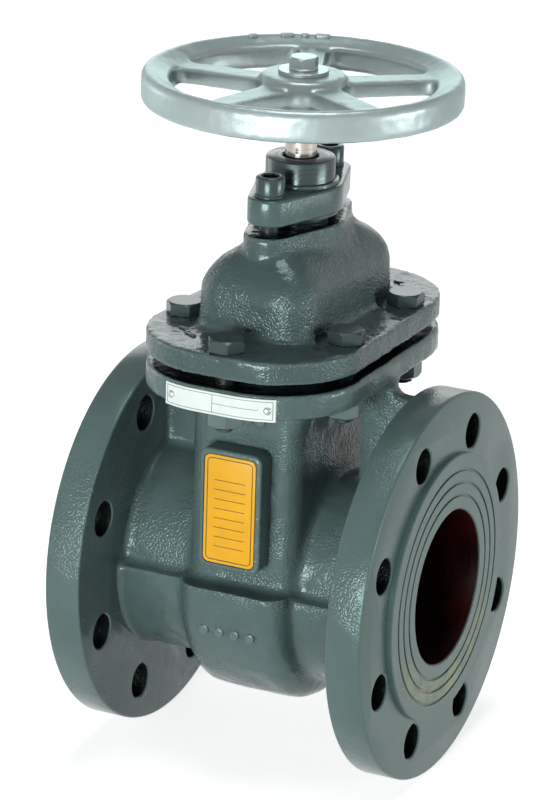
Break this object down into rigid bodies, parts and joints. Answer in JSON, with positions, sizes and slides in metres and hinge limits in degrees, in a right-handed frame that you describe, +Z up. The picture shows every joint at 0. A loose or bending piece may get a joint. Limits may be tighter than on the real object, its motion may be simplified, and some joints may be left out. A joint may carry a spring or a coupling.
{
  "type": "flanged wedge gate valve",
  "caption": "Flanged cast-iron wedge gate valve with a bolted bonnet, a two-bolt gland, a non-rising stem and a spoked handwheel; turning the wheel lifts the wedge off its seats.",
  "frame": {"origin": "centre of the inlet flange's raised gasket face", "axes": "+X along the bore from the inlet to the outlet, +Z up the stem to the handwheel, -Y is the side with the name plate"},
  "size_m": [0.18, 0.2, 0.3635],
  "materials": {
    "bolt_paint": "dark paint over steel",
    "bush_paint": "glossy dark paint",
    "casting": "glossy dark grey-green paint over cast skin",
    "gasket_black": "matt",
    "name_plate": "amber printed plate, blank",
    "packing_fibre": "graphite braid",
    "rating_plate": "white printed plate, blank",
    "seat_brass": "turned",
    "stem_steel": "bright turned steel",
    "washer_steel": "zinc plated",
    "wedge_iron": "oxide red primer",
    "wheel_paint": "silver-grey paint"
  },
  "bodies": {
    "valve_body": {"body": "casting", "inlet_flange": "casting", "outlet_flange": "casting", "bonnet": "casting", "gland_flange": "casting", "inlet_seat": "seat_brass", "outlet_seat": "seat_brass", "gasket": "gasket_black", "packing": "packing_fibre", "gland_bush": "bush_paint", "gland_bolt_front": "bolt_paint", "gland_bolt_rear": "bolt_paint", "gland_washer_front": "bolt_paint", "gland_washer_rear": "bolt_paint", "name_plate": "name_plate", "rating_plate": "rating_plate", "rivet_left": "washer_steel", "rivet_right": "washer_steel", "bonnet_bolt_1": "bolt_paint", "bonnet_nut_1": "bolt_paint", "bonnet_bolt_2": "bolt_paint", "bonnet_nut_2": "bolt_paint", "bonnet_bolt_3": "bolt_paint", "bonnet_nut_3": "bolt_paint", "bonnet_bolt_4": "bolt_paint", "bonnet_nut_4": "bolt_paint", "bonnet_bolt_5": "bolt_paint", "bonnet_nut_5": "bolt_paint", "bonnet_bolt_6": "bolt_paint", "bonnet_nut_6": "bolt_paint"},
    "handwheel_and_stem": {"handwheel": "wheel_paint", "stem": "stem_steel", "wheel_washer": "washer_steel", "lock_washer": "washer_steel", "wheel_bolt": "washer_steel"},
    "wedge_gate": {"wedge": "wedge_iron", "wedge_ring_inlet": "seat_brass", "wedge_ring_outlet": "seat_brass", "stem_nut": "seat_brass"}
  },
  "joints": [
    {"name": "handwheel_turn", "type": "hinge", "parent": "valve_body", "child": "handwheel_and_stem", "pos_m": [0.09, 0, 0.2], "axis": [0, 0, 1], "range_deg": [0, 7740]},
    {"name": "wedge_lift", "type": "slide", "parent": "valve_body", "child": "wedge_gate", "axis": [0, 0, 1], "range_m": [0, 0.0861]}
  ],
  "couplings": [
    {"joint": "wedge_lift", "follows": "handwheel_turn", "m_per_rad": 0.00063662}
  ]
}
